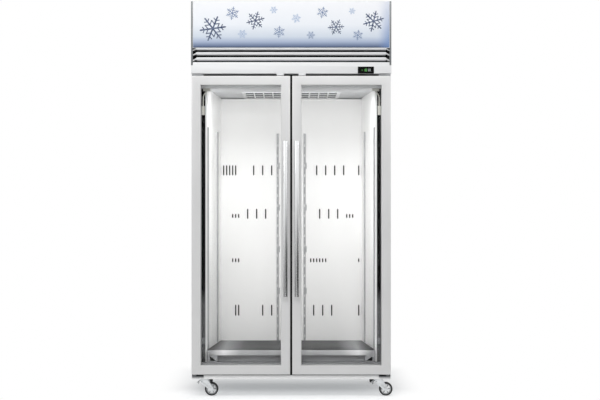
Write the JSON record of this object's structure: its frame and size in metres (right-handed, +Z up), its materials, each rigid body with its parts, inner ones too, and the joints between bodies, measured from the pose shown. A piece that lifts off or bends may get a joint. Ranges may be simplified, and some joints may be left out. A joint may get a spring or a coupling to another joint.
{
  "type": "ice merchandiser freezer",
  "caption": "Upright two-door glass display freezer for bagged ice, with a lit sign header, top refrigeration unit and swivel casters.",
  "frame": {"origin": "on the floor under the middle of the cabinet", "axes": "+Z up, front faces -Y, +X to the right seen from the front"},
  "size_m": [1.1155, 0.745, 2.18],
  "materials": {
    "outer_steel": "satin",
    "zinc_steel": "satin",
    "foam": "matte",
    "liner_white": "satin",
    "stainless": "satin",
    "frame_silver": "satin",
    "glass": "gloss",
    "spacer": "satin",
    "gasket": "matte",
    "handle_steel": "polished",
    "black_plastic": "matte",
    "diffuser": "satin",
    "lead_sheath": "matte",
    "bracket_black": "satin",
    "header_white": "satin",
    "sign_acrylic": "gloss",
    "cap_grey": "satin",
    "lamp_white": "satin",
    "controller_black": "gloss",
    "compressor_black": "satin",
    "coil_aluminium": "satin",
    "motor_black": "satin",
    "fan_grey": "satin",
    "copper_pipe": "satin",
    "box_grey": "satin",
    "case_white": "satin",
    "guard_wire": "satin",
    "zinc_plate": "satin",
    "wheel_rubber": "matte",
    "pedal_grey": "satin"
  },
  "bodies": {
    "cabinet": {"side_panels": "outer_steel", "rear_panel": "zinc_steel", "base_pan": "zinc_steel", "top_deck": "zinc_steel", "insulation": "foam", "liner_sides": "liner_white", "liner_ceiling": "liner_white", "liner_floor": "stainless", "liner_rear": "liner_white", "front_frame": "black_plastic", "centre_mullion": "black_plastic", "air_duct_panel": "liner_white", "ceiling_grille": "liner_white", "base_tray": "stainless", "tray_feet": "stainless", "shelf_pilasters": "liner_white", "light_housings": "black_plastic", "light_diffusers": "diffuser", "light_leads": "lead_sheath", "hinge_brackets": "bracket_black", "fascia": "header_white", "louvre_panel": "header_white", "sign_case": "header_white", "sign_panel": "sign_acrylic", "header_end_caps": "cap_grey", "sign_lamp": "lamp_white", "controller": "controller_black", "compressor": "compressor_black", "condenser_coil": "coil_aluminium", "condenser_shroud": "zinc_steel", "condenser_motor": "motor_black", "refrigerant_pipes": "copper_pipe", "electrics_box": "box_grey", "evaporator_case": "case_white", "evaporator_coil": "coil_aluminium", "unit_side_covers": "outer_steel", "unit_rear_guard": "guard_wire", "caster_plates": "zinc_plate"},
    "condenser_fan": {"condenser_fan": "fan_grey"},
    "evaporator_fan": {"evaporator_fan": "fan_grey"},
    "door_left": {"door_frame_left": "frame_silver", "door_glass_left": "glass", "glass_spacer_left": "spacer", "door_gasket_left": "gasket", "door_handle_left": "handle_steel"},
    "brake_pedal_left": {"brake_pedal_left": "pedal_grey"},
    "fork_front_left": {"caster_fork_front_left": "zinc_plate"},
    "wheel_front_left": {"caster_wheel_front_left": "wheel_rubber"},
    "fork_rear_left": {"caster_fork_rear_left": "zinc_plate"},
    "wheel_rear_left": {"caster_wheel_rear_left": "wheel_rubber"},
    "door_right": {"door_frame_right": "frame_silver", "door_glass_right": "glass", "glass_spacer_right": "spacer", "door_gasket_right": "gasket", "door_handle_right": "handle_steel"},
    "brake_pedal_right": {"brake_pedal_right": "pedal_grey"},
    "fork_front_right": {"caster_fork_front_right": "zinc_plate"},
    "wheel_front_right": {"caster_wheel_front_right": "wheel_rubber"},
    "fork_rear_right": {"caster_fork_rear_right": "zinc_plate"},
    "wheel_rear_right": {"caster_wheel_rear_right": "wheel_rubber"}
  },
  "joints": [
    {"name": "door_left_hinge", "type": "hinge", "parent": "cabinet", "child": "door_left", "pos_m": [-0.529, -0.3095, 0.951], "axis": [0, 0, -1], "range_deg": [0, 100], "stiffness_Nm_per_rad": 1.2, "springref_deg": -20.05},
    {"name": "caster_front_left_swivel", "type": "hinge", "parent": "cabinet", "child": "fork_front_left", "pos_m": [-0.486, -0.2165, 0.0917], "axis": [0, 0, 1], "continuous": true},
    {"name": "wheel_front_left_spin", "type": "hinge", "parent": "fork_front_left", "child": "wheel_front_left", "pos_m": [-0.444, -0.2165, 0.0375], "axis": [0, 1, 0], "continuous": true},
    {"name": "caster_rear_left_swivel", "type": "hinge", "parent": "cabinet", "child": "fork_rear_left", "pos_m": [-0.486, 0.2725, 0.0917], "axis": [0, 0, 1], "continuous": true},
    {"name": "wheel_rear_left_spin", "type": "hinge", "parent": "fork_rear_left", "child": "wheel_rear_left", "pos_m": [-0.486, 0.3145, 0.0375], "axis": [1, 0, 0], "continuous": true},
    {"name": "brake_pedal_left_hinge", "type": "hinge", "parent": "fork_front_left", "child": "brake_pedal_left", "pos_m": [-0.498, -0.2165, 0.0807], "axis": [0, -1, 0], "range_deg": [0, 12]},
    {"name": "door_right_hinge", "type": "hinge", "parent": "cabinet", "child": "door_right", "pos_m": [0.529, -0.3095, 0.951], "axis": [0, 0, 1], "range_deg": [0, 100], "stiffness_Nm_per_rad": 1.2, "springref_deg": -20.05},
    {"name": "caster_front_right_swivel", "type": "hinge", "parent": "cabinet", "child": "fork_front_right", "pos_m": [0.486, -0.2165, 0.0917], "axis": [0, 0, 1], "continuous": true},
    {"name": "wheel_front_right_spin", "type": "hinge", "parent": "fork_front_right", "child": "wheel_front_right", "pos_m": [0.528, -0.2165, 0.0375], "axis": [0, 1, 0], "continuous": true},
    {"name": "caster_rear_right_swivel", "type": "hinge", "parent": "cabinet", "child": "fork_rear_right", "pos_m": [0.486, 0.2725, 0.0917], "axis": [0, 0, 1], "continuous": true},
    {"name": "wheel_rear_right_spin", "type": "hinge", "parent": "fork_rear_right", "child": "wheel_rear_right", "pos_m": [0.486, 0.3145, 0.0375], "axis": [1, 0, 0], "continuous": true},
    {"name": "brake_pedal_right_hinge", "type": "hinge", "parent": "fork_front_right", "child": "brake_pedal_right", "pos_m": [0.474, -0.2165, 0.0807], "axis": [0, -1, 0], "range_deg": [0, 12]},
    {"name": "condenser_fan_spin", "type": "hinge", "parent": "cabinet", "child": "condenser_fan", "pos_m": [-0.4215, -0.0965, 1.902], "axis": [0, 1, 0], "continuous": true},
    {"name": "evaporator_fan_spin", "type": "hinge", "parent": "cabinet", "child": "evaporator_fan", "pos_m": [0, 0.032, 1.868], "axis": [0, 1, 0], "continuous": true}
  ]
}
